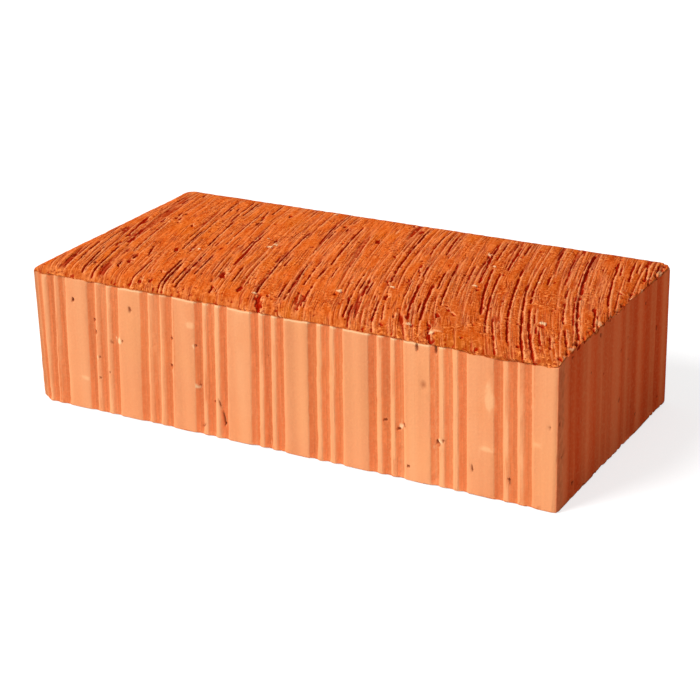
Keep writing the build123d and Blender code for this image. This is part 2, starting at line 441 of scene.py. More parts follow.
def bed_map(rng, marks, calm):
    """A bed seen from above, u is x and v is y, both with a margin that wraps over the edges. Its
    front and right edges are torn, and the wire left the other two clean."""
    reach_x, reach_y = HALF_LENGTH + MAP_MARGIN, HALF_WIDTH + MAP_MARGIN
    bed = ReliefMap(rng, (-reach_x, reach_x), (-reach_y, reach_y))
    x, y = np.meshgrid(bed.u, bed.v, indexing="ij")
    forward = HALF_WIDTH - y
    across = drift(x, forward)
    for name in ("height", "hollow_shade", "tone", "grit_and_highlight"):
        setattr(bed, name, marks.read(getattr(marks, name), across, forward))
    bed.height += 0.06 * bed.noise(rng, 9, 9)
    for i in range(int(BED_SPECKS * calm)):
        px = rng.uniform(-HALF_LENGTH, HALF_LENGTH)
        py = rng.uniform(-HALF_WIDTH, HALF_WIDTH)
        bed.pit(rng, px, py, rng.uniform(0.35, 0.7), rng.uniform(0.2, 0.6), stretch=rng.uniform(1, 2))

    torn_edge = np.minimum(y + HALF_WIDTH, HALF_LENGTH - x)
    clean_edge = np.minimum(forward, x + HALF_LENGTH)
    ragged = bed.noise(rng, 4, 4)
    crumbly = rise(torn_edge + 1.6 * ragged, CRUMBLY_REACH, 0.5) * calm
    crumbs = bed.noise(rng, 0.4, 0.5)
    holes = rise(crumbs + 0.4 * ragged, 1.1, 2.1)
    bed.height += crumbly * (0.08 * crumbs - 0.6 * holes)
    # Painted shade in the crumbled holes
    bed.hollow_shade = np.maximum(bed.hollow_shade, 0.8 * crumbly * holes)
    lumps = bed.noise(rng, 0.9, 0.9)
    at_end = rise(HALF_LENGTH - x, BITTEN_REACH, 0.5) * calm
    bites = rise(lumps, 0.4, 1.5) * at_end
    bed.height -= BITE_DEPTH * bites
    # Painted shade in the bites out of the right edge
    bed.hollow_shade = np.maximum(bed.hollow_shade, 0.8 * bites)
    bed.grit_and_highlight = np.maximum(bed.grit_and_highlight, 0.5 * rise(-lumps, 1.3, 2.0) * at_end)
    bed.height -= 0.25 * rise(torn_edge + 0.8 * ragged, 4.0, -1.0)
    bed.height *= 0.3 + 0.7 * rise(clean_edge, 0.0, 5.0)
    return bed


def finish_bed(bed):
    """Paints shade into the bed's hollows, then keeps its highest places level."""
    bed.shade_hollows(1.2, 0.7)
    bed.height = np.minimum(bed.height - np.quantile(bed.height, BELOW_TOP), 0.0)


def perimeter():
    """The box's outline seen from above, from the front left corner round by the right: points,
    the way in from each, and the distance gone."""
    xs = np.linspace(-HALF_LENGTH, HALF_LENGTH, round(LENGTH / GRID_X) + 1)
    ys = np.linspace(-HALF_WIDTH, HALF_WIDTH, round(WIDTH / GRID_Y) + 1)
    sides = [
        (xs[:-1], -HALF_WIDTH),
        (HALF_LENGTH, ys[:-1]),
        (xs[:0:-1], HALF_WIDTH),
        (-HALF_LENGTH, ys[:0:-1]),
    ]
    points = np.concatenate([np.stack(np.broadcast_arrays(x, y), 1) for x, y in sides])
    inner = np.array([HALF_LENGTH - CORNER_ZONE, HALF_WIDTH - CORNER_ZONE])
    aim = np.clip(points, -inner, inner) - points
    inward = aim / np.linalg.norm(aim, axis=1)[:, None]
    steps = np.linalg.norm(np.roll(points, -1, 0) - points, axis=1)
    gone = np.concatenate([[0], np.cumsum(steps)[:-1]])
    return xs, ys, points, inward, gone


def grid_levels():
    """The heights of the grid's rows, closer together near both edges."""
    low = EDGE_BAND / 2
    high = HEIGHT - EDGE_BAND
    return np.concatenate([
        np.linspace(0, low, round(low / GRID_EDGE), endpoint=False),
        np.linspace(low, high, round((high - low) / GRID_Z), endpoint=False),
        np.linspace(high, HEIGHT, round(EDGE_BAND / GRID_EDGE) + 1),
    ])


def by_side(gone, amounts):
    """An amount for the front, right, back and left sides, blended round the corners."""
    corners = np.cumsum((0, LENGTH, WIDTH, LENGTH))
    side = np.searchsorted(corners, gone, side="right") - 1
    return blurred(np.array(amounts)[side][:, None], (12, 0))[:, 0]


def gaps_to_edges(x, y):
    """How far inside the front, right, back and left edges a place lies."""
    return y + HALF_WIDTH, HALF_LENGTH - x, HALF_WIDTH - y, x + HALF_LENGTH


def sag(x, y):
    """How far the upper bed has sagged at a place, most of all towards its front edge."""
    falls = [
        amount * np.clip(1 - gap / SAG_REACH, 0, 1) ** 2
        for amount, gap in zip(SAG, gaps_to_edges(x, y))
    ]
    return sum(fall ** 3 for fall in falls) ** (1 / 3)


def read_section(points, inward):
    """How deep the brick's section lies inside the box at each point of the outline."""
    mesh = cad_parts["brick"].data
    faces = [polygon.vertices for polygon in mesh.polygons]
    tree = BVHTree.FromPolygons([vertex.co for vertex in mesh.vertices], faces)
    start_back = 2.0
    depths = []
    for point, way in zip(points, inward):
        start = Vector((*(point - way * start_back), HEIGHT / 2)) * MM
        distance = tree.ray_cast(start, Vector((*way, 0.0)))[3]
        depths.append(distance / MM - start_back)
    return np.array(depths)


# Marks on the front side, as places along it from its left end and up from the bottom. Pits and the
# dimple end in radius and depth, grains in radius, cracks in width and depth, and smears in half
# their width and half their height
FRONT_PITS = [
    (21.6, 51.5, 0.95, 0.9), (51.8, 51.9, 1.1, 0.25), (31.9, 43.4, 0.75, 0.7),
    (32.4, 37.9, 0.75, 0.7), (72.4, 42.1, 0.75, 0.8), (71.4, 29.0, 0.75, 0.8),
    (174.6, 24.6, 0.7, 0.6), (180.6, 22.2, 0.8, 0.8), (198.0, 19.6, 0.9, 0.8),
    (185.3, 6.6, 0.8, 0.8), (246.5, 36.0, 0.6, 0.6), (33.0, 16.5, 0.7, 0.5),
    (38.5, 20.0, 0.6, 0.5), (97.2, 7.2, 0.7, 0.8), (92.5, 16.8, 0.5, 0.5),
    (229.5, 10.5, 0.6, 0.6), (120.4, 43.0, 0.4, 0.4), (40.6, 35.0, 0.7, 0.5),
]
FRONT_GRAINS = [
    (181.9, 23.4, 1.1), (199.4, 20.6, 1.1), (45.4, 36.0, 0.9), (32.5, 26.0, 0.8),
    (84.6, 22.0, 0.8), (83.8, 40.5, 0.7),
]
FRONT_CRACKS = [
    (94.8, 19.0, 96.2, 14.0, 0.7, 0.5), (96.2, 14.0, 97.4, 7.0, 0.9, 0.7),
    (84.6, 3.0, 88.5, 6.0, 0.7, 0.4), (213.4, 14.5, 213.9, 10.0, 0.6, 0.5),
    (229.4, 12.0, 229.8, 7.5, 0.7, 0.6), (198.2, 17.6, 200.2, 20.4, 0.8, 0.6),
    (189.6, 66.0, 190.0, 56.8, 1.1, 0.9), (196.9, 66.0, 197.4, 56.4, 1.0, 0.8),
]
FRONT_SMEARS = [
    (221.0, 43.0, 1.8, 6.0), (219.5, 21.5, 4.0, 1.0), (25.5, 15.3, 2.6, 0.8),
    (83.0, 50.0, 2.2, 1.2), (241.0, 28.0, 2.0, 1.0),
]
FRONT_DIMPLE = (192.5, 43.7, 1.9, 0.35)

# Where along the front the grooves have crisp edges. Towards both ends the clay has slumped over them.
CRISP_MIDDLE = 155.0
CRISP_REACH = 62.0
SLUMPED_REACH = 85.0


def side_map(rng, section, gone):
    """The skin of the four sides. u runs round the outline, v runs up, and the top of it wraps."""
    side = ReliefMap(rng, (0, GIRTH - MAP_STEP), (-MAP_MARGIN, HEIGHT + MAP_MARGIN))
    groove_depth = np.interp(side.u, gone, section, period=GIRTH)[:, None]
    in_groove = rise(groove_depth, 0.25, 1.0)
    drag = side.noise(rng, 0.4, 40)
    broad = side.noise(rng, 1.4, 50)
    swell = side.noise(rng, 12, 16)
    grit = side.noise(rng, 0.5, 0.7)
    rough = rise(side.noise(rng, 5, 7), 0.4, 1.6)
    side.height += 0.012 * drag + 0.02 * broad + 0.05 * swell
    side.height += (0.008 + 0.07 * in_groove * rough) * grit
    side.tone += 0.2 * broad + 0.12 * side.noise(rng, 10, 14) + 0.25 * drag * in_groove
    for i in range(SIDE_SPECKS):
        u = rng.uniform(0, GIRTH)
        v = rng.uniform(2, HEIGHT - 2)
        if u > LENGTH:
            radius, depth = rng.uniform(0.4, 0.8), rng.uniform(0.2, 0.8)
            side.pit(rng, u, v, radius, depth, stretch=rng.uniform(0.8, 1.8))
    for pit in FRONT_PITS:
        side.pit(rng, *pit)
    u, v, radius, depth = FRONT_DIMPLE
    part, uu, vv = side.window(u, v, radius * 2, radius * 2)
    hollow = rise(np.hypot(uu - u, (vv - v) / 1.5) / radius, 1.0, 0.0)
    side.height[part] -= depth * hollow
    # The dimple is darkened as painted shade
    side.tone[part] -= 1.6 * hollow
    for crack in FRONT_CRACKS:
        side.gouge(rng, *crack)
    for u, v, radius in FRONT_GRAINS:
        side.bead(u, v, radius, 0.3)
    for u, v, half_u, half_v in FRONT_SMEARS:
        part, uu, vv = side.window(u, v, 1.5 * half_u, 1.5 * half_v)
        patch = rise(np.hypot((uu - u) / half_u, (vv - v) / half_v) + 0.2 * grit[part], 1.3, 0.6)
        side.tone[part] += 1.6 * patch
        side.height[part] += 0.05 * patch
    past_corner = side.u[:, None] - LENGTH
    scuffed = rise(past_corner + 2.0 * side.noise(rng, 2, 5), 9.0, 4.0) * rise(past_corner, 0.2, 1.0)
    side.tone -= 0.6 * scuffed * (1 + 0.9 * grit)
    side.height += scuffed * (0.05 * grit - 0.25 * rise(grit + 0.5 * drag, 1.3, 2.4))
    return side


def eased(section, gone):
    """The section with the opening wall of each groove at its gentler slope."""
    mouth = np.maximum.accumulate(np.where(section < LAND_INSET, gone, -np.inf))
    sloped = np.minimum(section, OPENING_SLOPE * (gone - mouth))
    return np.where(distance_to_corner(gone) > CORNER_ZONE, sloped, section)


def slumped(section, gone):
    """The section with softer grooves where the clay has slumped: at both ends of each long side."""
    soft = blurred(section[:, None], (1.6 / GRID_X, 0))[:, 0]
    share = rise(np.abs(gone % (LENGTH + WIDTH) - CRISP_MIDDLE), CRISP_REACH, SLUMPED_REACH) * 0.4
    near_corner = rise(section, GROOVE_FLOOR_DEPTH + 0.1, GROOVE_FLOOR_DEPTH)
    straight = rise(distance_to_corner(gone), 3.0, 6.0)
    return section + share * near_corner * straight * (soft - section)


def distance_to_corner(gone):
    """How far each place along the outline lies from the nearest corner."""
    along = gone % (LENGTH + WIDTH)
    return np.minimum(np.minimum(along, np.abs(along - LENGTH)), LENGTH + WIDTH - along)


def edge_arc(distance, radius):
    """A rounded edge followed from its middle outwards: how far in it lies, how far it drops and how
    far it has turned. distance is from the box's edge, and the flat face is reached smoothly."""
    shift = radius * (1 - math.pi / 4)
    travelled = np.where(
        distance < EDGE_BAND,
        distance * (EDGE_BAND - shift) / EDGE_BAND,
        distance - shift,
    )
    turn = np.minimum(travelled / radius, math.pi / 4)
    beyond = travelled - turn * radius
    low = radius * (1 - np.sin(math.pi / 4 - turn)) + beyond
    inside = radius * (1 - np.cos(math.pi / 4 - turn))
    return inside, low, turn


def along_outline(rng, gone, size, low, high):
    """A value that wanders round the outline between two limits."""
    cells = 1024
    noise = smooth_noise(rng, (cells, 1), (size * cells / GIRTH, 0))[:, 0]
    places = np.linspace(0, GIRTH, cells, endpoint=False)
    wander = np.interp(gone, places, noise, period=GIRTH)
    return low + (high - low) * (0.5 + 0.5 * np.tanh(wander))


# Corners that have lost some clay: which corner, the way the break faces, and how deep it goes
BROKEN_CORNERS = [
    ((-1, -1, 0), (-1.0, -0.6, -1.0), 2.6),
    ((1, 1, 1), (1.0, 0.8, 0.5), 2.3),
    ((1, 1, 1), (1.0, 0.3, 0.2), 1.1),
]
BREAK_ROUGHNESS = 0.05


class Brick:
    """Gathers the positions and surface values of one closed mesh."""

    def __init__(self, rng):
        self.rng = rng
        self.xs, self.ys, self.outline, self.inward, self.gone = perimeter()
        section = read_section(self.outline, self.inward)
        self.section = slumped(eased(section, self.gone), self.gone)
        self.section *= 1 - SHARP_CORNER * rise(np.abs(self.gone - LENGTH), 4.0, 2.5)
        self.levels = grid_levels()
        upper_marks = wire_marks(rng, 1.0)
        mark_upper_bed(rng, upper_marks)
        self.upper = bed_map(rng, upper_marks, 1.0)
        lower_marks = wire_marks(rng, 0.6)
        smooth_over(lower_marks, rise(lower_marks.noise(rng, 5, 9), 0.2, 1.0))
        self.lower = bed_map(rng, lower_marks, 0.3)
        for bed in (self.upper, self.lower):
            finish_bed(bed)
        self.side = side_map(rng, self.section, self.gone)
        self.side.shade_hollows(1.0, 0.5)
        self.upper_radius = along_outline(rng, self.gone, 6, 0.9, 1.1) * by_side(self.gone, UPPER_RADIUS)
        self.lower_radius = along_outline(rng, self.gone, 6, 0.6, 0.8)
        ragged = along_outline(rng, self.gone, 0.9, -0.3, 0.3)
        ragged = ragged + along_outline(rng, self.gone, 3.5, -0.3, 0.3)
        worn_end = rise(self.gone, *WORN_END) * rise(self.gone, LENGTH, LENGTH - 6)
        at_header = (self.gone > LENGTH) & (self.gone < LENGTH + WIDTH)
        reach = by_side(self.gone, TORN_REACH) + 1.6 * worn_end
        self.upper_wrap = reach + ragged * (1 + rise(self.gone, 52, 38) + worn_end + 1.2 * at_header)
        self.lower_wrap = np.where(at_header, 0.8, 0.3) + ragged * np.where(at_header, 0.8, 0.3)

    def along(self, profile, places):
        """A profile that follows the outline, read at places along it."""
        return np.interp(places, self.gone, profile, period=GIRTH)

    def side_rows(self):
        """Positions and values of every vertex on the sides, one row of the grid for each column."""
        gone = self.gone[:, None]
        z = self.levels[None, :]
        sway = ReliefMap(self.rng, (0, GIRTH - MAP_STEP), (0, HEIGHT))
        wobble = 0.04 * sway.noise(self.rng, 5, 6) + 0.035 * sway.noise(self.rng, 1.5, 1.2)
        patchy = rise(sway.noise(self.rng, 12, 16), 0.4, 1.6)
        wobble *= 1 + 2.0 * patchy
        shift = sway.read(wobble, gone, z) - self.lean()[:, None] * (z / HEIGHT - 0.5)
        rib = self.along(self.rib_crests(), gone + shift)
        worn = 0.08 + 0.08 * sway.read(sway.noise(self.rng, 2, 4), gone, z)
        depth = self.along(self.section, gone + shift) + rib * np.clip(worn, 0.0, 0.3)
        off_corner = rise(distance_to_corner(gone), 2.0, 3.5)
        open_groove = rise(depth, 0.3, 0.9) * off_corner
        from_top = HEIGHT - z
        wrap = self.upper_wrap[:, None]
        header = self.on_header()[:, None]
        closed_above = SMEARED_TOP * rise(from_top, wrap + 0.9, wrap - 0.6)
        closed_below = (SMEARED_BELOW[0] + SMEARED_BELOW[1] * header) * rise(z, 2.5, 0.3)
        smeared = np.maximum(closed_above, closed_below)
        depth = depth * (1 - smeared * off_corner)

        top_in, top_low, top_turn = edge_arc(from_top, self.upper_radius[:, None])
        bottom_in, bottom_low, bottom_turn = edge_arc(z, self.lower_radius[:, None])
        upper_half = z > HEIGHT / 2
        inside = np.where(upper_half, top_in, bottom_in)
        lowered = sag(*self.outline.T)[:, None] * rise(from_top, EDGE_BAND, 0)
        height = np.where(upper_half, HEIGHT - top_low - lowered, bottom_low)
        top_cut = rise(from_top, wrap + 0.25, wrap - 0.25)
        lower_wrap = self.lower_wrap[:, None]
        bottom_cut = rise(z, lower_wrap + 0.3, lower_wrap - 0.3)
        cut = np.where(upper_half, top_cut, bottom_cut)

        # A place on the side is read from the bed's map as if the bed went on past its edge
        past_edge = np.where(upper_half, from_top, z)
        bed_x, bed_y = self.outline.T[:, :, None] - self.inward.T[:, :, None] * past_edge

        def finish(name):
            upper = self.upper.read(getattr(self.upper, name), bed_x, bed_y)
            lower = self.lower.read(getattr(self.lower, name), bed_x, bed_y)
            return np.where(upper_half, upper, lower), self.side.read(getattr(self.side, name), gone, z)

        torn, skin = finish("height")
        skin = np.minimum(skin - LAND_INSET, 0)
        relief = EDGE_RELIEF * torn * cut + skin * (1 - cut)
        tip = math.pi / 2 - 2 * np.where(upper_half, top_turn, bottom_turn)
        inside = inside + depth - relief * np.cos(tip)
        height = height + np.where(upper_half, 1, -1) * relief * np.sin(tip)
        plan = self.outline[:, None, :] + self.inward[:, None, :] * inside[..., None]
        position = np.concatenate([plan, height[..., None]], axis=2)

        # A pale line below the torn clay, painted as the highlight of the lands' top edge
        lip = np.exp(-((from_top - wrap - LIP_BELOW) / LIP_WIDTH) ** 2) * (1 - open_groove)
        lip = lip * rise(gone, *LIP_COMES) * rise(gone, *LIP_GOES)
        bed_cavity, skin_cavity = finish("hollow_shade")
        bed_tone, skin_tone = finish("tone")
        bed_grain, skin_grain = finish("grit_and_highlight")
        onward = np.pad(np.roll(self.outline, -1, axis=0) - self.outline, ((0, 0), (0, 1)))
        onward /= np.linalg.norm(onward, axis=1)[:, None]
        values = {
            "cut": cut,
            "hollow_shade": bed_cavity * cut + skin_cavity * (1 - cut),
            # The ribs between grooves get a painted highlight
            "tone": bed_tone * cut + (skin_tone + 0.7 * rib) * (1 - cut),
            # The pale grit values also carry the lip's painted highlight
            "grit_and_highlight": bed_grain * cut + np.maximum(skin_grain, 0.9 * lip) * (1 - cut),
            "groove": self.along(self.near_grooves(), gone + shift),
            "header": np.broadcast_to(header, depth.shape),
            "border": rise(np.abs(from_top - wrap - KEPT_BELOW), *KEPT_FADE) * (gone < LENGTH + WIDTH),
            "flow": wire_flow(bed_x, bed_y),
            "onward": np.broadcast_to(onward[:, None, :], (*depth.shape, 3)),
        }
        return position, values

    def lean(self):
        """How far the grooves lean to the right from the bottom to the top. Only the front's do."""
        places, amounts = zip(*FRONT_LEAN)
        straight = rise(distance_to_corner(self.gone), 2, 9)
        return np.interp(self.gone, places, amounts) * (self.gone < LENGTH) * straight

    def rib_crests(self):
        """1 on the narrow ribs between two grooves, 0 on the lands."""
        reach = round(3.6 / GRID_X)
        left = np.max([np.roll(self.section, k) for k in range(1, reach)], axis=0)
        right = np.max([np.roll(self.section, -k) for k in range(1, reach)], axis=0)
        between = rise(np.minimum(left, right), 0.7, 1.0)
        return between * rise(self.section, 0.7, 0.2) * rise(distance_to_corner(self.gone), 3, 5)

    def near_grooves(self):
        """1 in the grooves, on the ribs between them and a little past them, 0 on the lands."""
        reach = round(1.2 / GRID_X)
        deepest = np.max([np.roll(self.section, k) for k in range(-reach, reach + 1)], axis=0)
        return rise(deepest, 0.3, 0.6) * rise(distance_to_corner(self.gone), 1.0, 2.0)

    def on_header(self):
        """1 on the right end, whose deeper, redder colour is painted shade, and less elsewhere."""
        corners = np.cumsum((LENGTH, WIDTH, LENGTH, WIDTH))
        places = np.stack([corners - 0.6, corners + 0.6], 1).ravel()
        tints = (0, 1, 1, BACK_TINT, BACK_TINT, LEFT_TINT, LEFT_TINT, 0)
        past = self.gone - LENGTH
        scuffed = SCUFFED_PALER * rise(past, 7, 4) * rise(past, 0, 1)
        return np.interp(self.gone, places, tints) * (1 - scuffed)

    def by_edge(self, ring):
        """A ring's entries along the front, right, back and left edges, each from its low end."""
        nx, ny = len(self.xs) - 1, len(self.ys) - 1
        closed = np.concatenate([ring, ring[:1]])
        front = closed[:nx + 1]
        right = closed[nx:nx + ny + 1]
        back = closed[nx + ny:2 * nx + ny + 1][::-1]
        left = closed[2 * nx + ny:][::-1]
        return front, right, back, left

    def bed_grid(self, ring, bed, sign, level, radius):
        """Positions and values of a bed's vertices, edges included, fitted to the ring of the sides."""
        x, y = np.meshgrid(self.xs, self.ys, indexing="ij")
        gaps = np.stack(gaps_to_edges(x, y))
        front, right, back, left = self.by_edge(ring[:, :2] - self.outline)
        wf, wr, wb, wl = rise(gaps, EDGE_BAND, 0)[..., None]
        shift = wf * front[:, None] + wb * back[:, None] + wl * left[None] + wr * right[None]
        shift = shift - wf * wl * front[0] - wf * wr * front[-1] - wb * wl * back[0] - wb * wr * back[-1]
        plan = np.stack([x, y], axis=2) + shift

        weights = 1 / (gaps + 0.05) ** 2
        front, right, back, left = self.by_edge(radius)
        sides = [np.broadcast_to(side, x.shape) for side in (front[:, None], right, back[:, None], left)]
        local = (weights * np.stack(sides)).sum(axis=0) / weights.sum(axis=0)
        turn = np.minimum(gaps.min(axis=0) / local, math.pi / 4)
        drop = local * (1 - np.sin(math.pi / 4 + turn))
        height = level + sign * (bed.read(bed.height, x, y) - drop)
        if sign > 0:
            height -= sag(x, y)
        values = {name: bed.read(getattr(bed, name), x, y) for name in ("hollow_shade", "tone", "grit_and_highlight")}
        values["cut"] = np.ones_like(x)
        values.update(dict.fromkeys(("groove", "header", "border"), np.zeros_like(x)))
        values["flow"] = wire_flow(x, y)
        values["onward"] = np.zeros((*x.shape, 3))
        return np.concatenate([plan, height[..., None]], axis=2), values

    def build(self):
        """One closed mesh: the sides' grid, and the two beds joined to its top and bottom rings."""
        position, values = self.side_rows()
        columns, rows = position.shape[:2]
        count = columns * rows
        ids = np.arange(count).reshape(columns, rows)
        around = np.roll(ids, -1, axis=0)
        faces = [quads(ids[:, :-1], around[:, :-1], around[:, 1:], ids[:, 1:])]
        positions = [listed(position)]
        gathered = {name: [listed(grid)] for name, grid in values.items()}
        inner = (slice(1, -1), slice(1, -1))
        beds = [
            (self.upper, 1, HEIGHT, self.upper_radius, -1),
            (self.lower, -1, 0.0, self.lower_radius, 0),
        ]
        for bed, sign, level, radius, row in beds:
            grid, grid_values = self.bed_grid(position[:, row], bed, sign, level, radius)
            index = np.empty(grid.shape[:2], int)
            new = index[inner]
            new[:] = count + np.arange(new.size).reshape(new.shape)
            count += new.size
            index[:, 0], index[-1], index[:, -1], index[0] = self.by_edge(ids[:, row])
            positions.append(listed(grid[inner]))
            for name, value in grid_values.items():
                gathered[name].append(listed(value[inner]))
            corners = [index[:-1, :-1], index[1:, :-1], index[1:, 1:], index[:-1, 1:]]
            faces.append(quads(*corners[::sign]))
        joined = {name: np.concatenate(parts) for name, parts in gathered.items()}
        return self.break_corners(np.concatenate(positions)), np.concatenate(faces), joined

    def break_corners(self, positions):
        """The positions with the broken corners cut back."""
        for corner, facing, depth in BROKEN_CORNERS:
            tip = np.where(np.array(corner) > 0, HIGH, LOW)
            way = np.array(facing) / np.linalg.norm(facing)
            rough = self.rng.normal(0, BREAK_ROUGHNESS, len(positions))
            beyond = (positions - tip) @ way + depth + rough
            positions = positions - np.maximum(beyond, 0)[:, None] * way
        return positions


def listed(grid):
    """A grid's entries as a list: numbers, or vectors where it has a third axis."""
    return grid.reshape(-1, *grid.shape[2:])


def quads(a, b, c, d):
    """Four equal grids of vertex numbers as a list of faces."""
    return np.stack([a, b, c, d], axis=-1).reshape(-1, 4)


def make_mesh(name, positions, faces, values):
    """A Blender mesh with the surface values as attributes of its points."""
    mesh = bpy.data.meshes.new(name)
    mesh.vertices.add(len(positions))
    mesh.vertices.foreach_set("co", (positions * MM).astype(np.float32).ravel())
    mesh.loops.add(faces.size)
    mesh.loops.foreach_set("vertex_index", faces.astype(np.int32).ravel())
    mesh.polygons.add(len(faces))
    mesh.polygons.foreach_set("loop_start", np.arange(0, faces.size, 4, dtype=np.int32))
    mesh.update(calc_edges=True)
    mesh.validate()
    for key, value in values.items():
        kind, entry = ("FLOAT", "value") if value.ndim == 1 else ("FLOAT_VECTOR", "vector")
        attribute = mesh.attributes.new(key, kind, "POINT")
        attribute.data.foreach_set(entry, value.astype(np.float32).ravel())
    return mesh


def collapse(piece, free, before, after):
    """Adds a modifier that collapses flat places among the free points, from before triangles to
    after."""
    group = piece.vertex_groups.new(name="free")
    group.add(np.flatnonzero(free).tolist(), 1.0, "REPLACE")
    modifier = piece.modifiers.new("collapse", "DECIMATE")
    modifier.vertex_group = group.name
    modifier.ratio = after / before


def read_out(items, entry, width=1):
    """One entry of every item, as an array."""
    values = np.empty(width * len(items), np.float32)
    items.foreach_get(entry, values)
    return values


def thin_out(piece, triangles):
    """Thins the lower bed, then all but the border of the torn clay, until the mesh has that many
    triangles, and keeps the result in the box."""
    lower = read_out(piece.data.vertices, "co", 3)[2::3] < 1.0 * MM
    border = read_out(piece.data.attributes["border"].data, "value")
    before = 2 * len(piece.data.polygons)
    between = before - 2 * int(lower.sum()) * (1 - LOWER_SHARE)
    collapse(piece, lower, before, between)
    collapse(piece, border < 0.5, between, triangles)
    dg = bpy.context.evaluated_depsgraph_get()
    mesh = bpy.data.meshes.new_from_object(piece.evaluated_get(dg))
    piece.modifiers.clear()
    piece.vertex_groups.clear()
    places = read_out(mesh.vertices, "co", 3).reshape(-1, 3)
    places = np.clip(places, LOW * MM, HIGH * MM)
    mesh.vertices.foreach_set("co", places.astype(np.float32).ravel())
    piece.data = mesh
    piece.data.name = piece.name


class Nodes:
    """Short words for building the node tree of a material or a world."""

    def __init__(self, owner):
        owner.use_nodes = True
        self.tree = owner.node_tree
        self.tree.nodes.clear()

    def add(self, kind, inputs=(), **settings):
        node = self.tree.nodes.new(kind)
        for key, value in settings.items():
            setattr(node, key, value)
        for key, value in dict(inputs).items():
            if isinstance(value, bpy.types.NodeSocket):
                self.tree.links.new(value, node.inputs[key])
            else:
                node.inputs[key].default_value = value
        return node

    def math(self, operation, a, b=0.0, clamp=False):
        node = self.add("ShaderNodeMath", {0: a, 1: b}, operation=operation, use_clamp=clamp)
        return node.outputs[0]

    def times(self, *factors, clamp=False):
        """The factors multiplied together."""
        product = factors[0]
        for factor in factors[1:]:
            product = self.math("MULTIPLY", product, factor, clamp)
        return product

    def attribute(self, name, output="Fac"):
        return self.add("ShaderNodeAttribute", attribute_name=name).outputs[output]

    def noise(self, vector, scale, detail=2.0, roughness=0.5):
        inputs = {"Vector": vector, "Scale": scale, "Detail": detail, "Roughness": roughness}
        return self.add("ShaderNodeTexNoise", inputs).outputs["Fac"]

    def smooth(self, value, start, end):
        """A smooth step from 0 at start to 1 at end."""
        limits = {"Value": value, "From Min": start, "From Max": end}
        return self.add("ShaderNodeMapRange", limits, interpolation_type="SMOOTHSTEP").outputs[0]

    def vector(self, operation, a, b, output="Vector"):
        return self.add("ShaderNodeVectorMath", {0: a, 1: b}, operation=operation).outputs[output]

    def stretched(self, vector, scales):
        return self.vector("MULTIPLY", vector, scales)

    def parts(self, vector):
        """A vector's three parts."""
        return self.add("ShaderNodeSeparateXYZ", {0: vector}).outputs

    def wire_line(self, flow, aside):
        """Thin lines along the wire's path, 1 along their middle, moved that far to the left."""
        moved = self.vector("ADD", flow, (aside, 0.0, 0.0))
        swing = self.noise(self.stretched(moved, (0.8, 0.03, 1.0)), 1.0, 1.0, 0.4)
        away = self.math("ABSOLUTE", self.math("SUBTRACT", swing, 0.5))
        return self.smooth(away, 0.04, 0.01)

    def gap_to_sides(self, place):
        """How far a point lies inside the brick's ends and inside its long sides."""
        return [
            self.math("SUBTRACT", half * MM, self.math("ABSOLUTE", axis))
            for half, axis in zip((HALF_LENGTH, HALF_WIDTH), self.parts(place))
        ]

    def ramp(self, value, *stops):
        """A colour that changes with the value, given as places and the colours there."""
        node = self.add("ShaderNodeValToRGB", {"Fac": value})
        elements = node.color_ramp.elements
        while len(elements) < len(stops):
            elements.new(0.5)
        for stop, (place, colour) in zip(elements, stops):
            stop.position = place
            stop.color = (*colour, 1.0)
        return node.outputs["Color"]

    def mix(self, share, a, b, blend="MIX"):
        node = self.add("ShaderNodeMix", data_type="RGBA", blend_type=blend)
        for socket, value in ((node.inputs[0], share), (node.inputs[6], a), (node.inputs[7], b)):
            if isinstance(value, bpy.types.NodeSocket):
                self.tree.links.new(value, socket)
            elif isinstance(value, tuple):
                socket.default_value = (*value, 1.0)
            else:
                socket.default_value = value
        return node.outputs[2]

    def over(self, base, *layers):
        """Colours laid over a base one after another, each with its share and how it blends."""
        for share, *layer in layers:
            base = self.mix(share, base, *layer)
        return base


def srgb(red, green, blue):
    """A colour given as screen values of 0 to 255, as the linear values that shaders take."""
    def linear(value):
        value = value / 255
        return value / 12.92 if value <= 0.04045 else ((value + 0.055) / 1.055) ** 2.4
    return linear(red), linear(green), linear(blue)


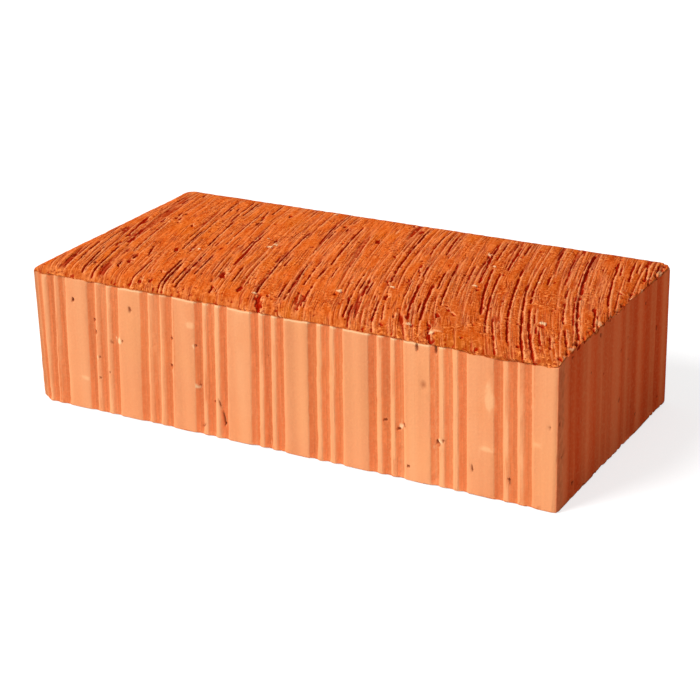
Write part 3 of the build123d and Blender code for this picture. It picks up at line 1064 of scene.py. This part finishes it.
def skin_colour(n, place, tone):
    """The extruded skin of the sides, with the right end's shade painted as a deeper, redder colour, and
    the grooves deeper in colour, partly as painted shade.
    """
    header = n.attribute("header")
    pale = n.ramp(
        n.noise(place, 22.0, 3.0),
        (0.3, srgb(236, 150, 98)), (0.5, srgb(238, 156, 106)), (0.7, srgb(240, 160, 106)),
    )
    # The right end's shade, painted as a deeper, redder colour in upright bands
    painted_end_shade = n.ramp(
        n.noise(n.stretched(place, (1.0, 1.0, 0.02)), 110.0, 0.0),
        (0.38, srgb(234, 88, 40)), (0.5, srgb(240, 102, 52)), (0.62, srgb(246, 118, 68)),
    )

    # A groove's floor is deeper in colour, partly the clay's own and partly painted shade. The wall that
    # opens it, which the key light leaves in shade, is painted lighter than the floor as painted light,
    # and the wall that ends it, which faces back along the side, is left as pale as the lands
    x_gap, y_gap = n.gap_to_sides(place)
    sunk = n.smooth(n.math("MINIMUM", x_gap, y_gap), 0.22 * MM, 0.42 * MM)
    facing = n.add("ShaderNodeNewGeometry").outputs["True Normal"]
    turned = n.vector("DOT_PRODUCT", facing, n.attribute("onward", "Vector"), "Value")
    closing_wall = n.times(n.smooth(turned, -0.2, -0.4), n.smooth(x_gap, 3.5 * MM, 6.5 * MM))
    opening = n.times(n.smooth(turned, 0.2, 0.5), n.math("SUBTRACT", 1.0, header))
    # This mask carries the grooves' deeper colour, which is partly painted shade
    rough = n.times(n.attribute("groove"), sunk, n.math("SUBTRACT", 1.0, closing_wall))
    floor_colour = n.mix(header, (0.84, 0.58, 0.45), (0.92, 0.86, 0.80))
    floor_colour = n.mix(opening, floor_colour, (1.10, 0.76, 0.60))
    quieter = n.times(tone, n.math("SUBTRACT", 1.0, n.times(header, 0.5)))
    # Over the pale skin: the right end's painted shade, the grooves' colour, and tone that is partly
    # random and partly painted, lighter on the ribs and darker in the dimple
    return n.over(
        pale,
        (header, painted_end_shade),
        (rough, floor_colour, "MULTIPLY"),
        (n.times(quieter, 0.3, clamp=True), n.mix(header, srgb(255, 200, 146), srgb(244, 134, 84))),
        (n.times(quieter, -0.35, clamp=True), srgb(150, 68, 34)),
    )


def clay_material():
    """Bare fired clay: paler extruded skin on the sides, deep orange torn clay on the beds."""
    material = bpy.data.materials.new("fired clay")
    n = Nodes(material)
    place = n.add("ShaderNodeTexCoord").outputs["Object"]
    flow = n.attribute("flow", "Vector")
    cut, hollow_shade, tone = n.attribute("cut"), n.attribute("hollow_shade"), n.attribute("tone")

    torn = n.ramp(
        n.noise(n.stretched(flow, (0.55, 0.09, 1.0)), 1.0, 2.0, 0.5),
        (0.25, srgb(200, 70, 8)), (0.5, srgb(225, 100, 32)), (0.75, srgb(247, 128, 60)),
    )
    patches = n.smooth(n.noise(place, 45.0, 3.0), 0.45, 0.75)
    right_end = n.smooth(n.parts(place)[0], 0.0, 0.08)
    at_front = n.smooth(n.parts(flow)[1], WIDTH - 9, WIDTH)
    crumb = n.noise(place, 650.0, 3.0, 0.6)
    crumbly = n.smooth(n.noise(place, 60.0, 2.0), 0.42, 0.62)
    loose = n.math("ADD", 0.4, n.times(crumbly, 0.6))
    stretch = n.smooth(n.noise(n.stretched(flow, (0.3, 0.06, 1.0)), 1.0), 0.42, 0.6)
    thin_line = n.times(n.wire_line(flow, 0.0), stretch)
    beside = n.times(n.wire_line(flow, -0.45), stretch)
    speck = n.times(crumbly, n.smooth(n.noise(place, 1000.0, 1.0), 0.6, 0.7))
    # Over the torn clay: random patches, a darker right end and a cooler front edge; crumbs painted
    # lighter where they stand up and darker where they sink, as painted highlight and shade; painted
    # highlights on ridges and beside each thin line; painted shade in the thin lines, the specks and the
    # hollows
    torn = n.over(
        torn,
        (n.times(patches, 0.45), srgb(222, 106, 18)),
        (right_end, (0.82, 0.74, 0.68), "MULTIPLY"),
        (at_front, (0.76, 0.93, 1.3), "MULTIPLY"),
        (n.times(loose, n.smooth(crumb, 0.5, 0.68)), srgb(255, 146, 74)),
        (n.times(loose, n.smooth(crumb, 0.45, 0.3)), srgb(164, 44, 0)),
        (n.times(tone, 0.95, clamp=True), srgb(255, 172, 112)),
        (n.times(beside, 0.4), srgb(255, 156, 92)),
        (n.times(thin_line, 0.6), srgb(166, 28, 0)),
        (n.times(speck, 0.8), srgb(156, 24, 0)),
        (n.times(n.smooth(hollow_shade, 0.0, 0.8), 0.96), srgb(160, 16, 0)),
    )

    speckle = n.noise(place, 900.0, 2.0)
    dots = n.times(n.math("SUBTRACT", speckle, 0.45), n.math("SUBTRACT", 0.4, n.times(cut, 0.4)))
    # Over the skin: the torn clay where cut, painted shade in the skin's hollows, pale specks, and pale
    # grit with the lip's painted highlight
    colour = n.over(
        skin_colour(n, place, tone),
        (cut, torn),
        (n.times(hollow_shade, n.math("SUBTRACT", 1.0, cut), 0.85), srgb(116, 34, 6)),
        (n.math("MAXIMUM", dots, 0.0), srgb(255, 190, 130)),
        (n.times(n.attribute("grit_and_highlight"), 0.9), srgb(252, 208, 158)),
    )

    fine_torn = n.noise(n.stretched(flow, (1.0, 0.4, 1.0)), 1.4, 2.0, 0.5)
    fine_torn = n.math("ADD", fine_torn, n.times(crumb, n.math("ADD", loose, 0.2)))
    fine_torn = n.math("SUBTRACT", fine_torn, n.times(n.math("MAXIMUM", thin_line, speck), 0.7))
    dragged = n.noise(n.stretched(place, (1.0, 1.0, 0.03)), 900.0, 2.0)
    fine_skin = n.times(n.math("ADD", dragged, speckle), 0.3)
    relief = n.mix(cut, fine_skin, fine_torn)
    bump = n.add("ShaderNodeBump", {"Height": relief, "Distance": 0.0004, "Strength": 0.8}).outputs[0]
    shader = n.add("ShaderNodeBsdfPrincipled", {
        "Base Color": colour,
        "Roughness": 0.88,
        "Specular IOR Level": 0.0,
        "Normal": bump,
    })
    n.add("ShaderNodeOutputMaterial", {"Surface": shader.outputs[0]})
    return material


def add_object(name, data):
    """A new object in the scene."""
    added = bpy.data.objects.new(name, data)
    bpy.context.scene.collection.objects.link(added)
    return added


def make_brick():
    """The brick as the photograph shows it, in place of its plain solid."""
    brick = Brick(np.random.default_rng(SEED))
    piece = add_object("fired_brick", make_mesh("fired_brick", *brick.build()))
    thin_out(piece, TRIANGLES)
    piece.data.materials.clear()
    piece.data.materials.append(clay_material())
    piece.data.shade_smooth()
    piece.data.set_sharp_from_angle(angle=SHARP_EDGE)
    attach(piece, "root")
    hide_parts("brick")


# Stage: a white floor, a soft key light from the front left and an even sky
FLOOR_SIZE = 30.0
FLOOR_COLOUR = (0.45, 0.45, 0.45)
FLOOR_GLOW = 0.70
SUN_TURN = math.radians(-35)
SUN_RISE = math.radians(40)
SUN_SPREAD = math.radians(26)
SUN_STRENGTH = 3.3
SKY = 0.50


def make_floor():
    """A pale floor that shows white to the camera and bounces a softer light."""
    mesh = bpy.data.meshes.new("floor")
    half = FLOOR_SIZE / 2
    corners = [(-half, -half, 0), (half, -half, 0), (half, half, 0), (-half, half, 0)]
    mesh.from_pydata(corners, [], [(0, 1, 2, 3)])
    floor = add_object("floor", mesh)
    material = bpy.data.materials.new("floor")
    n = Nodes(material)
    seen = n.add("ShaderNodeLightPath").outputs["Is Camera Ray"]
    matte = n.add("ShaderNodeBsdfDiffuse", {"Color": (*FLOOR_COLOUR, 1.0)}).outputs[0]
    glow = n.add("ShaderNodeEmission", {"Strength": n.times(seen, FLOOR_GLOW)}).outputs[0]
    shader = n.add("ShaderNodeAddShader", {0: matte, 1: glow}).outputs[0]
    n.add("ShaderNodeOutputMaterial", {"Surface": shader})
    mesh.materials.append(material)


def make_sky():
    """An even sky that shows white to the camera."""
    world = bpy.data.worlds.new("sky")
    n = Nodes(world)
    seen = n.add("ShaderNodeLightPath").outputs["Is Camera Ray"]
    level = n.add("ShaderNodeMapRange", {"Value": seen, "To Min": SKY, "To Max": 1.0}).outputs[0]
    background = n.add("ShaderNodeBackground", {"Strength": level}).outputs[0]
    n.add("ShaderNodeOutputWorld", {"Surface": background})
    bpy.context.scene.world = world


def direction(turn, height):
    """The way from the brick to what stands at those angles, round to the right from straight in
    front of it and up from the floor."""
    flat = math.cos(height)
    return Vector((math.sin(turn) * flat, -math.cos(turn) * flat, math.sin(height)))


def make_sun():
    """The key light."""
    light = bpy.data.lights.new("key", "SUN")
    light.energy = SUN_STRENGTH
    light.angle = SUN_SPREAD
    lamp = add_object("key", light)
    lamp.rotation_euler = direction(SUN_TURN, SUN_RISE).to_track_quat("Z", "Y").to_euler()


# The photograph's view, fitted to the brick's visible edges
VIEW_TURN = math.radians(29.94)
VIEW_RISE = math.radians(22.33)
VIEW_ROLL = math.radians(-1.55)
VIEW_DISTANCE = 808.0
VIEW_SIDEWAYS = -0.3
VIEW_UPWARDS = 7.6
LENS = 94.95
SENSOR = 36.0


def make_camera():
    """The camera, aimed near the brick's middle and held slightly askew."""
    back = direction(VIEW_TURN, VIEW_RISE)
    level = Vector((math.cos(VIEW_TURN), math.sin(VIEW_TURN), 0))
    upright = back.cross(level)
    right = math.cos(VIEW_ROLL) * level + math.sin(VIEW_ROLL) * upright
    up = -math.sin(VIEW_ROLL) * level + math.cos(VIEW_ROLL) * upright
    middle = Vector((0, 0, HEIGHT / 2))
    place = middle + back * VIEW_DISTANCE - right * VIEW_SIDEWAYS - up * VIEW_UPWARDS
    data = bpy.data.cameras.new("camera")
    data.lens = LENS
    data.sensor_width = SENSOR
    camera = add_object("camera", data)
    turn = Matrix((right, up, back)).transposed().to_4x4()
    camera.matrix_world = Matrix.Translation(place * MM) @ turn
    bpy.context.scene.camera = camera


make_camera()
make_brick()
make_floor()
make_sky()
make_sun()
bpy.context.scene.view_settings.view_transform = "Standard"
